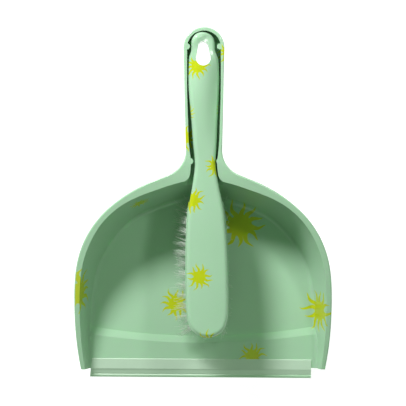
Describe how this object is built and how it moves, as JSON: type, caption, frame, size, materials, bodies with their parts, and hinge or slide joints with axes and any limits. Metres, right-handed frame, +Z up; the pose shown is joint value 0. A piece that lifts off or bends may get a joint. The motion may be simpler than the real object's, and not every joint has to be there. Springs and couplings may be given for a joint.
{
  "type": "dust pan and brush set",
  "caption": "Wide dust pan with a soft front lip and a hollow channel handle that holds a matching hand brush, both with a hanging hole",
  "frame": {"origin": "middle of the whole object seen from above, on the surface it stands on", "axes": "+Y from the lip towards the end of the handle, +Z up out of the open bowl, +X to the right seen from above with the handle away"},
  "size_m": [0.2404, 0.3277, 0.0677],
  "materials": {
    "pan_plastic": "pale green moulded plastic with a satin gloss and scattered yellow sun prints",
    "brush_plastic": "pale green moulded plastic with a satin gloss and scattered yellow sun prints",
    "lip_rubber": "soft matt grey-green strip",
    "bristle": "pale translucent monofilament with flagged tips",
    "anchor_steel": "bright flat wire"
  },
  "bodies": {
    "pan": {"pan_body": "pan_plastic", "pan_lip": "lip_rubber"},
    "brush": {"brush_body": "brush_plastic", "bristle_row_1": "bristle", "bristle_row_2": "bristle", "bristle_row_3": "bristle", "bristle_row_4": "bristle", "bristle_row_5": "bristle", "tuft_anchors_1": "anchor_steel", "tuft_anchors_2": "anchor_steel", "tuft_anchors_3": "anchor_steel", "tuft_anchors_4": "anchor_steel", "tuft_anchors_5": "anchor_steel"}
  },
  "joints": [
    {"name": "brush_lift", "type": "slide", "parent": "pan", "child": "brush", "axis": [0, 0, 1], "range_m": [0, 0.1]}
  ]
}
